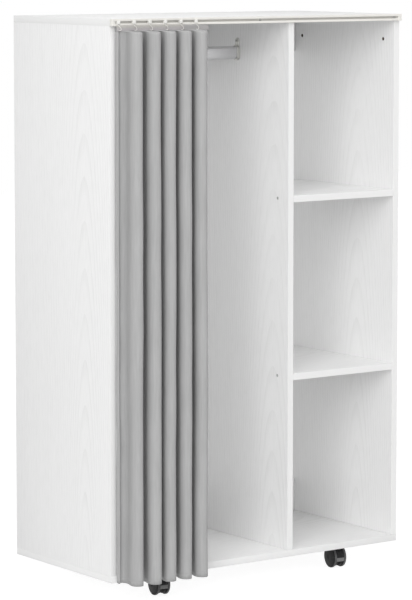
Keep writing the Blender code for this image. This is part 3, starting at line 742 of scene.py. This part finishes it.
def cloth_columns():
    """For each column of the cloth: its x and depth in the folds, its x at the tape, its own width."""
    edge_x = left_x + EDGE_INSET
    valleys = [edge_x + EDGE_FOLD_W] + [x + pitch / 2 - FOLD_SHIFT for x in glider_places[1:-1]]
    valleys[1] -= FIRST_VALLEY_SHIFT
    columns = [(edge_x, 0.0, edge_x, 0.0)]
    columns += fold_line(edge_x, valleys[0] - edge_x, EDGE_FOLD_CLOTH, EDGE_STEPS, EDGE_STEPS)
    for start, end, fold_cloth in zip(valleys, valleys[1:], FOLD_CLOTHS):
        columns += fold_line(start, end - start, fold_cloth, FOLD_STEPS, FOLD_STEPS)
    last_steps = round(FOLD_STEPS * LAST_FOLD_SHARE)
    columns += fold_line(valleys[-1], pitch, FOLD_CLOTHS[-1], FOLD_STEPS, last_steps)
    last = valleys[-1]
    stretch = (glider_places[-1] + TAPE_OVERHANG - last) / (columns[-1][2] - last)
    return [
        (x, forward, last + (tape_x - last) * stretch if tape_x > last else tape_x, width)
        for x, forward, tape_x, width in columns
    ]


def cloth_rows(top_z, tape_foot):
    """For each row of the cloth: its height and the share of the folds' depth that it has there."""
    rows = [(top_z, 0.0), (tape_foot, 0.0)]
    for i in range(1, GATHER_ROWS + 1):
        share = i / GATHER_ROWS
        fullness = 1.0 - (1.0 - share) ** GATHER_FULLNESS
        rows.append((tape_foot - GATHER_DROP * share ** GATHER_CROWDING, fullness))
    full = rows[-1][0]
    rows += [(full + (hem_z - full) * i / LONG_ROWS, 1.0) for i in range(1, LONG_ROWS + 1)]
    return rows


def uneven(share, along, height, size, along_pace, height_pace, seed):
    """A share of one soft unevenness at a place on the cloth."""
    return size * share * noise.noise(Vector((along * along_pace, height * height_pace, seed)))


def cloth_mesh(columns, rows, tape_y):
    """The hanging cloth as a grid, with its flat place on the cloth, in metres, as its UV map."""
    bm = bmesh.new()
    across, down = len(columns) - 1, len(rows) - 1
    bmesh.ops.create_grid(bm, x_segments=across, y_segments=down, size=0.5)
    along, total = [], 0.0
    for column in columns:
        total += column[3]
        along.append(total)
    flat = bm.loops.layers.uv.new("flat_cloth")
    flat_place = {}
    top_z = rows[0][0]
    for vert in bm.verts:
        i, j = round((vert.co.x + 0.5) * across), round((0.5 - vert.co.y) * down)
        x, forward, tape_x, _ = columns[i]
        z, depth_share = rows[j]
        loose = min(1.0, (top_z - z) / (top_z - hem_z) * LOOSE_RATE)
        sway = sum(uneven(loose, along[i], z, *one) for one in SWAYS)
        depth = forward * (1.0 + uneven(loose, along[i], z, *DEPTH_CHANGE))
        fold_y = front_y - CLOTH_CLEAR - CLOTH_T / 2 - depth
        vert.co = (tape_x + (x + sway - tape_x) * depth_share, tape_y + (fold_y - tape_y) * depth_share, z)
        flat_place[vert] = (along[i], top_z - z)
    for face in bm.faces:
        for loop in face.loops:
            loop[flat].uv = flat_place[loop.vert]
    return bm, total


def bands(tree, place, pitch, direction="X", **more):
    """Soft lines across a direction, this far apart."""
    feeds = {"Vector": place, "Scale": wave_scale(pitch), **more}
    return add_node(tree, "TexWave", feeds, bands_direction=direction).outputs["Fac"]


def cloth_finish(cloth_height):
    """Grey plain weave with soft slubs, and stitches along the foot's hem, from the flat cloth's UV map."""
    look, tree, shader = new_finish("grey_woven_cloth", {
        "Roughness": 0.92, "Specular IOR Level": 0.25, "Sheen Weight": 0.12, "Sheen Roughness": 0.5,
    })
    flat = add_node(tree, "UVMap", uv_map="flat_cloth").outputs["UV"]
    down = add_node(tree, "SeparateXYZ", {"Vector": flat}).outputs["Y"]
    warp = bands(tree, flat, THREAD_PITCH, "X", Distortion=0.6, Detail=1.0)
    weft = bands(tree, flat, THREAD_PITCH, "Y", Distortion=0.6, Detail=1.0)
    threads = reckoned(tree, "MAXIMUM", warp, weft)
    slubs = speckle(tree, stretched(tree, flat, (260.0, 14.0, 1.0)), scale=1.0, detail=4.0)
    clouds = speckle(tree, flat, scale=7.0, detail=2.0)
    shade = reckoned(tree, "ADD", product(tree, slubs, SLUB_SHARE), product(tree, clouds, CLOUD_SHARE))
    deep = shaded(CLOTH_GREY, CLOTH_DEEP)
    color = blended_color(tree, rescaled(tree, shade, *CLOTH_BAND), shaded(CLOTH_GREY, CLOTH_PALE), deep)
    from_hem = reckoned(tree, "SUBTRACT", cloth_height, down)
    off_seam = reckoned(tree, "ABSOLUTE", reckoned(tree, "SUBTRACT", from_hem, HEM_H))
    on_seam = rescaled(tree, off_seam, *SEAM_BAND, to_low=1.0, to_high=0.0)
    stitches = bands(tree, flat, STITCH_PITCH)
    sewn = product(tree, on_seam, rescaled(tree, stitches, *STITCH_BAND, STITCH_GAP, 1.0))
    color = blended_color(tree, product(tree, sewn, STITCH_SHADE), color, deep)
    tree.links.new(color, shader.inputs["Base Color"])
    relief = reckoned(
        tree, "SUBTRACT", product(tree, threads, THREAD_RELIEF), product(tree, sewn, STITCH_RELIEF)
    )
    add_relief(tree, shader, relief, depth=0.00018, strength=0.6)
    return look


def thickened(piece, name, thickness):
    wall = piece.modifiers.new(name, "SOLIDIFY")
    wall.thickness = thickness
    wall.offset = 0.0


tape_y = slot_front - SLOT_CLEAR - TAPE_T
tape_top, tape_foot = track_low.z + TAPE_TOP, track_low.z + TAPE_TOP - TAPE_H
columns = cloth_columns()
rows = cloth_rows(tape_foot + SEAM_LAP, tape_foot)
cloth_y = tape_y + TAPE_T / 2 + CLOTH_BACK_GAP + CLOTH_T / 2
cloth, cloth_width = cloth_mesh(columns, rows, cloth_y)
cloth_height = rows[0][0] - hem_z
curtain = in_scene("hanging_curtain", mesh_from("hanging_curtain", cloth))
curtain.data.materials.append(cloth_finish(cloth_height))
curtain.data.shade_smooth()
rounding = curtain.modifiers.new("soft folds", "SUBSURF")
rounding.levels = rounding.render_levels = 1
thickened(curtain, "cloth thickness", CLOTH_T)
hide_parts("curtain")
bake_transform(curtain)


# Heading tape: a thin woven nylon strip, sewn along the top of the cloth. The gliders' hooks catch
# it from the front, and it hides the foot of the track. Past the fifth glider it hangs loose.
TAPE_WARM = (0.530, 0.515, 0.475, 1.0)
TAPE_LILAC = (0.475, 0.452, 0.462, 1.0)
TAPE_THREAD = (0.385, 0.365, 0.370, 1.0)
# Painted shade: the darker grey that the tape takes past the fifth glider, where it hangs loose.
TAPE_SHADED = (0.375, 0.368, 0.365, 1.0)
LILAC_FROM, LILAC_FULL = 0.30, 0.62
MOTTLE_SHARE = 0.6
RIB_PITCH = 0.0011
TAPE_COLUMNS, TAPE_ROWS = 120, 5
TAPE_SAG = 0.0006
TAPE_BOW = 0.0002
LOOSE_DROP = 0.0034
LOOSE_RIPPLE = 0.15


def tape_finish(loose_shade_from):
    """Warm top, lilac foot, and painted shade in darker grey past the fifth glider, where it hangs loose."""
    look, tree, shader = new_finish("woven_heading_tape", {"Roughness": 0.6, "Sheen Weight": 0.1})
    flat = add_node(tree, "UVMap", uv_map="flat_tape").outputs["UV"]
    part = add_node(tree, "SeparateXYZ", {"Vector": flat}).outputs
    lower = rescaled(tree, part["Y"], TAPE_H * LILAC_FROM, TAPE_H * LILAC_FULL)
    # Painted shade: past the fifth glider the tape's colour blends to the darker TAPE_SHADED grey.
    loose = rescaled(tree, part["X"], loose_shade_from, loose_shade_from + pitch / 3)
    mottle = speckle(tree, stretched(tree, flat, (900.0, 260.0, 1.0)), scale=1.0, detail=3.0)
    threads = rescaled(tree, mottle, *MARK_BAND, to_high=MOTTLE_SHARE)
    color = blended_color(tree, lower, TAPE_WARM, TAPE_LILAC)
    color = blended_color(tree, threads, blended_color(tree, loose, color, TAPE_SHADED), TAPE_THREAD)
    tree.links.new(color, shader.inputs["Base Color"])
    ribs = bands(tree, flat, RIB_PITCH, Distortion=1.0)
    add_relief(tree, shader, ribs, depth=0.00015, strength=0.5)
    return look


tape = bmesh.new()
bmesh.ops.create_grid(tape, x_segments=TAPE_COLUMNS, y_segments=TAPE_ROWS, size=0.5)
flat_tape = tape.loops.layers.uv.new("flat_tape")
tape_start, tape_end = columns[0][2], columns[-1][2]
for vert in tape.verts:
    share, drop = vert.co.x + 0.5, 0.5 - vert.co.y
    x = tape_start + (tape_end - tape_start) * share
    between = math.cos(2 * math.pi * (x - glider_places[0]) / pitch)
    sag = TAPE_SAG * (1 - between) / 2 * drop
    loose = min(1.0, max(0.0, (x - glider_places[-2]) / pitch))
    loose = LOOSE_DROP * loose * (1.0 - LOOSE_RIPPLE * between) * (1.0 - drop)
    vert.co = (x, tape_y - TAPE_BOW * (1 - between) / 2, tape_top - TAPE_H * drop - sag - loose)
for face in tape.faces:
    for loop in face.loops:
        loop[flat_tape].uv = (loop.vert.co.x - tape_start, tape_top - loop.vert.co.z)
heading = in_scene("heading_tape", mesh_from("heading_tape", tape))
heading.data.materials.append(tape_finish(glider_places[-2] - tape_start))
heading.data.shade_smooth()
thickened(heading, "tape thickness", TAPE_T)
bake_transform(heading)


# Castors: black nylon twin-wheel castors of 50 mm, one under each corner. A steel plate is held
# by four screws; the hooded housing turns on the plate's pivot and carries the wheels on a pin.
NYLON_BLACK = (0.010, 0.010, 0.0105, 1.0)
TREAD_GREY = (0.065, 0.065, 0.066, 1.0)
# Painted highlight: the lighter grey of the hood's lower outer skin, for the light band along its lip.
LIP_HIGHLIGHT_GREY = (0.150, 0.150, 0.150, 1.0)
SCUFF_BAND = (0.52, 0.72)
SCUFF_GAIN, SCUFF_LIFT = 1.5, 0.012
GLOSS_SPREAD = 0.14
CASTOR_STEPS = 64
WHEEL_W = 0.0145
WHEEL_GAP = 0.0005
BORE_R = 0.0028
BORE_FLOOR = 0.0088
HUB_EDGE = 0.0005
TREAD_W = 0.0080
TREAD_SKIN = 0.0009
DOME_DROP = 0.0022
DOME_RISE = 0.0019
DOME_SHARES = (0.85, 0.65, 0.42)
# The wheel's outline: how far inside its radius, and how far past the tread's start or the dome's
# base, then its boss as (radius, distance inside its outer face).
TREAD_START = ((0.0010, 0.0), (0.0003, 0.0005), (0.0, 0.0014))
RIM = ((0.0, -0.0018), (0.0005, -0.0007), (0.0016, 0.0), (0.0030, 0.0002), (0.0034, -0.0006),
       (0.0040, -0.0006), (0.0044, 0.0003))
BOSS = ((0.0052, 0.0003), (0.0046, 0.0009), (0.0, 0.0009))
WEB_T = 0.0060
WEB_FOOT_R = 0.0068
WEB_TAPER = 0.25
HOOD_DEPTH = 0.0005
HOOD_CLEAR = 0.0010
HOOD_WALL = 0.0015
HOOD_SHEET = 0.0013
HOOD_DIP = math.radians(20)
HOOD_SHARES = (-1.0, -0.97, -0.85, -0.5, 0.0, 0.5, 0.85, 0.97, 1.0)
HOOD_CROWN = 0.0004
HOOD_SKIN = 0.0007
LIP_TOP = 0.0010
NECK_R = 0.0085
NECK_EDGE = 0.0006
NECK_GAP = 0.0003
PLATE_ROUND = 0.004
PLATE_ROUND_STEPS = 6
PLATE_EDGE = 0.0003
CORNER_ANGLE = 1.0
PLATE_SCREW = {"head_h": 0.0012, "shank_r": 0.0016, "recess_r": 0.0018, "recess_shares": CROSS_SHARES}
PLATE_SCREW_HEAD_R = 0.0032
PLATE_SCREW_L = 0.0022
PLATE_SCREW_INSET = 0.006


def nylon_finish(name, color, low_roughness, gloss):
    """Moulded nylon with a fine grain; scuffs bring its colour up a little."""
    look, tree, shader = new_finish(name, {"Base Color": color, "Specular IOR Level": gloss})
    place = own_place(tree)
    grain = speckle(tree, place, scale=1300.0, detail=3.0)
    scuffs = rescaled(tree, speckle(tree, place, scale=160.0, detail=4.0), *SCUFF_BAND)
    scuffed = tuple(value * SCUFF_GAIN + SCUFF_LIFT for value in color[:3]) + (1.0,)
    tree.links.new(blended_color(tree, scuffs, color, scuffed), shader.inputs["Base Color"])
    roughened(tree, shader, grain, low_roughness, low_roughness + GLOSS_SPREAD)
    add_relief(tree, shader, grain, depth=0.00004)
    return look


def wheel_mesh(radius):
    """A wheel turned about Z: hub under the hood at height 0, then tread, rim groove and domed face."""
    dome_base, tread_start = WHEEL_W - DOME_DROP, WHEEL_W - TREAD_W
    hub_r = radius - HOOD_DEPTH - HOOD_WALL - HOOD_CLEAR
    face_inset, face_rise = RIM[-1]
    outline = [(0.0, BORE_FLOOR), (BORE_R, BORE_FLOOR), (BORE_R, 0.0)]
    outline += [(hub_r - HUB_EDGE, 0.0), (hub_r, HUB_EDGE), (hub_r, tread_start)]
    outline += [(radius - inset, tread_start + past) for inset, past in TREAD_START]
    outline += [(radius - inset, dome_base + past) for inset, past in RIM]
    outline += [
        ((radius - face_inset) * share, dome_base + face_rise + DOME_RISE * (1 - share ** 2))
        for share in DOME_SHARES
    ]
    outline += [(boss_r, WHEEL_W - inside) for boss_r, inside in BOSS]
    bm = spun(outline, CASTOR_STEPS)
    for face in bm.faces:
        middle = face.calc_center_median()
        on_tread = math.hypot(middle.x, middle.y) > radius - TREAD_SKIN and middle.z > tread_start
        face.material_index = int(on_tread)
    return bm


def hood_mesh(radius):
    """The hood between the treads: a strip across it, spun about the axle and thickened inwards."""
    bm = bmesh.new()
    half, hood_r = WEB_T / 2 + WHEEL_W - TREAD_W, radius - HOOD_DEPTH
    verts = [bm.verts.new((half * s, hood_r - HOOD_CROWN * s ** 4, 0.0)) for s in HOOD_SHARES]
    edges = [bm.edges.new(pair) for pair in zip(verts, verts[1:])]
    bmesh.ops.rotate(bm, matrix=Matrix.Rotation(-HOOD_DIP, 3, "X"), verts=verts, cent=(0, 0, 0))
    bmesh.ops.spin(bm, geom=verts + edges, cent=(0, 0, 0), axis=(1, 0, 0), angle=math.pi + 2 * HOOD_DIP,
                   steps=CASTOR_STEPS // 2, use_merge=False)
    bmesh.ops.recalc_face_normals(bm, faces=bm.faces)
    if sum(face.normal.dot(face.calc_center_median()) for face in bm.faces) < 0:
        bmesh.ops.reverse_faces(bm, faces=bm.faces)
    bmesh.ops.solidify(bm, geom=list(bm.faces), thickness=HOOD_SHEET)
    # Painted highlight: outer faces below the axle's height take the second, lighter grey finish.
    for face in bm.faces:
        middle = face.calc_center_median()
        outside = math.hypot(middle.y, middle.z) > hood_r - HOOD_SKIN
        face.material_index = int(outside and middle.z < LIP_TOP)
    return bm


def housing_mesh(radius, trail, top):
    """Hood, web between the wheels, and the neck that rises to the plate at y = -trail."""
    bm = hood_mesh(radius)
    middle_r = radius - HOOD_DEPTH - HOOD_WALL / 2
    web = bmesh.new()
    bmesh.ops.create_circle(web, cap_ends=True, segments=CASTOR_STEPS, radius=middle_r)
    for vert in web.verts:
        if vert.co.y < -WELD:
            squeeze = WEB_FOOT_R / math.hypot(vert.co.x, vert.co.y)
            level = min(1.0, -vert.co.y / (radius * WEB_TAPER))
            vert.co *= 1 + (squeeze - 1) * level
    extruded(web, list(web.faces), (0, 0, WEB_T))
    bmesh.ops.translate(web, vec=(0, 0, -WEB_T / 2), verts=web.verts)
    web.transform(Matrix(((0, 0, 1, 0), (1, 0, 0, 0), (0, 1, 0, 0), (0, 0, 0, 1))))
    faced_out(web)
    add_shape(bm, web)
    neck = spun([
        (0.0, 0.0), (NECK_R + NECK_EDGE, 0.0), (NECK_R + NECK_EDGE, top - 2 * NECK_EDGE),
        (NECK_R, top - NECK_EDGE), (NECK_R - NECK_EDGE, top), (0.0, top),
    ], CASTOR_STEPS // 2)
    bmesh.ops.translate(neck, vec=(0, -trail, 0), verts=neck.verts)
    for vert in neck.verts:
        if vert.co.z < top / 2:
            vert.co.z = math.sqrt(middle_r ** 2 - vert.co.y ** 2)
    add_shape(bm, neck)
    return bm


def plate_mesh(low, high):
    """The square mounting plate, with round corners and fine bevels round its faces."""
    bm = block(low, high)
    half = (high.z - low.z) / 2
    uprights = [e for e in bm.edges if abs(e.verts[0].co.z - e.verts[1].co.z) > half]
    rounded(bm, uprights, PLATE_ROUND, PLATE_ROUND_STEPS)
    rims = [e for e in bm.edges
            if abs(e.verts[0].co.z - e.verts[1].co.z) < half and e.calc_face_angle(0.0) > CORNER_ANGLE]
    rounded(bm, rims, PLATE_EDGE)
    faced_out(bm)
    return bm


def plate_screws(low, high):
    """Four screws near the plate's corners, with their heads down."""
    bm = bmesh.new()
    reach = (high.x - low.x) / 2 - PLATE_SCREW_INSET
    middle, head_z = (low + high) / 2, low.z - PLATE_SCREW["head_h"]
    for way_x in (-1, 1):
        for way_y in (-1, 1):
            shape = screw_mesh(PLATE_SCREW_HEAD_R, PLATE_SCREW_L, **PLATE_SCREW)
            shape.transform(aimed((middle.x + way_x * reach, middle.y + way_y * reach, head_z), (0, 0, -1)))
            add_shape(bm, shape)
    return bm


black_nylon = nylon_finish("black_moulded_nylon", NYLON_BLACK, low_roughness=0.44, gloss=0.22)
# The tread's finish is a lighter grey than the rest of the wheel.
tread_grey_nylon = nylon_finish("dark_grey_tread", TREAD_GREY, low_roughness=0.42, gloss=0.45)
# Painted highlight on the hood's lip, in a lighter grey than the black nylon.
hood_lip_highlight = nylon_finish("hood_lip_painted_highlight", LIP_HIGHLIGHT_GREY, low_roughness=0.30, gloss=0.50)
joint_of = {joint["name"]: joint for joint in frame["joints"]}
for corner in ("front_left", "front_right", "rear_left", "rear_right"):
    castor = corner + "_castor"
    spin_joint = joint_of[castor + "_left_wheel_spin"]
    axle_place, axle_line = Vector(spin_joint["pos_m"]), Vector(spin_joint["axis"])
    trail = (axle_place - Vector(joint_of[castor + "_swivel"]["pos_m"])).length
    radius = axle_place.z
    low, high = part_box(castor + "_plate")
    stand = Matrix.Translation(axle_place) @ Matrix.Rotation(math.atan2(axle_line.y, axle_line.x), 4, "Z")
    housing = housing_mesh(radius, trail, low.z - NECK_GAP - axle_place.z)
    housing.transform(stand)
    settle(castor + "_moulded_housing", housing, black_nylon, castor + "_body",
           [castor + "_housing"], hood_lip_highlight)
    for side, outward in (("left", -1), ("right", 1)):
        node = f"{castor}_{side}_wheel"
        wheel = wheel_mesh(radius)
        apart = Matrix.Translation((outward * (WEB_T / 2 + WHEEL_GAP), 0, 0))
        wheel.transform(stand @ (apart @ Matrix.Rotation(outward * math.pi / 2, 4, "Y")))
        settle(node + "_moulded", wheel, black_nylon, node + "_body", [node], tread_grey_nylon)
    frame["nodes"][castor + "_axle"].material_slots[0].material = zinc_steel
    settle(castor + "_steel_plate", plate_mesh(low, high), zinc_steel, "root",
           [castor + "_plate"])
    settle(castor + "_plate_screws", plate_screws(low, high), zinc_steel, "root")


# Floor and light: a plain white floor in a white surround, the main soft lamp far off to the front
# left, weak soft lamps low on the left and right, above and behind, and the camera at the
# photograph's place.
FLOOR_HALF = 9.0
FLOOR_GREY, SEEN_FLOOR_GREY = 0.90, 0.26
FLOOR_GLOW = 0.905
SURROUND = 0.41
LAMPS = (
    ("soft_left_front", (-11.2, -12.5, 8.60), 12.0, 1850.0),
    ("soft_low_left", (-5.2, -3.4, 0.9), 1.6, 16.0),
    ("soft_right_front", (3.2, -2.6, 1.6), 2.6, 5.0),
    ("soft_above", (-0.2, -1.3, 4.0), 2.4, 34.0),
    ("soft_behind", (-1.6, 3.4, 1.7), 3.0, 14.0),
)
LAMPS_AIM = Vector((0.0, 0.0, 0.65))
CAMERA_PLACE = (-3.512, -5.229, 1.387)
CAMERA_YAW = math.radians(35.761)
CAMERA_DIP = math.radians(5.534)
LENS_PX = 2943.9
FRAME_PX = 600
LIFT_SHARE = 0.12
SENSOR = 36.0


def seen_white(tree, plain, white):
    """Mixes in the white for the camera's rays and for mirrored and clear ones."""
    rays = add_node(tree, "LightPath").outputs
    seen = reckoned(tree, "MAXIMUM", rays["Is Camera Ray"], rays["Is Glossy Ray"])
    seen = reckoned(tree, "MAXIMUM", seen, rays["Is Transmission Ray"])
    return add_node(tree, "MixShader", {"Fac": seen, 1: plain, 2: white}).outputs["Shader"]


def grey(value):
    return (value, value, value, 1.0)


def bare_tree(holder):
    """The holder's node tree with nothing in it."""
    holder.use_nodes = True
    holder.node_tree.nodes.clear()
    return holder.node_tree


floor_shape = bmesh.new()
bmesh.ops.create_grid(floor_shape, x_segments=1, y_segments=1, size=FLOOR_HALF)
floor = in_scene("studio_floor", mesh_from("studio_floor", floor_shape))
floor_look = bpy.data.materials.new("pale_floor")
tree = bare_tree(floor_look)
matt = add_node(tree, "BsdfDiffuse", {"Color": grey(FLOOR_GREY)}).outputs["BSDF"]
faint = add_node(tree, "BsdfDiffuse", {"Color": grey(SEEN_FLOOR_GREY)}).outputs["BSDF"]
glow = add_node(tree, "Emission", {"Color": grey(1.0), "Strength": FLOOR_GLOW}).outputs["Emission"]
white_floor = add_node(tree, "AddShader", {0: faint, 1: glow}).outputs["Shader"]
add_node(tree, "OutputMaterial", {"Surface": seen_white(tree, matt, white_floor)})
floor.data.materials.append(floor_look)

world = bpy.data.worlds.new("white_surround")
bpy.context.scene.world = world
tree = bare_tree(world)
soft = add_node(tree, "Background", {"Color": grey(1.0), "Strength": SURROUND}).outputs["Background"]
white = add_node(tree, "Background", {"Color": grey(1.0), "Strength": 1.0}).outputs["Background"]
add_node(tree, "OutputWorld", {"Surface": seen_white(tree, soft, white)})

for name, place, size, power in LAMPS:
    light = bpy.data.lights.new(name, "AREA")
    light.size = size
    light.energy = power
    lamp = in_scene(name, light)
    lamp.location = place
    lamp.rotation_euler = (LAMPS_AIM - Vector(place)).to_track_quat("-Z", "Y").to_euler()

camera_data = bpy.data.cameras.new("photo_camera")
camera_data.sensor_width = SENSOR
camera_data.lens = LENS_PX / FRAME_PX * SENSOR
camera_data.shift_y = -LIFT_SHARE
camera = in_scene("photo_camera", camera_data)
camera.location = Vector((left_x, front_y, hem_z)) + Vector(CAMERA_PLACE)
camera.rotation_euler = (math.pi / 2 - CAMERA_DIP, 0.0, -CAMERA_YAW)
bpy.context.scene.camera = camera
bpy.context.scene.view_settings.view_transform = "Standard"
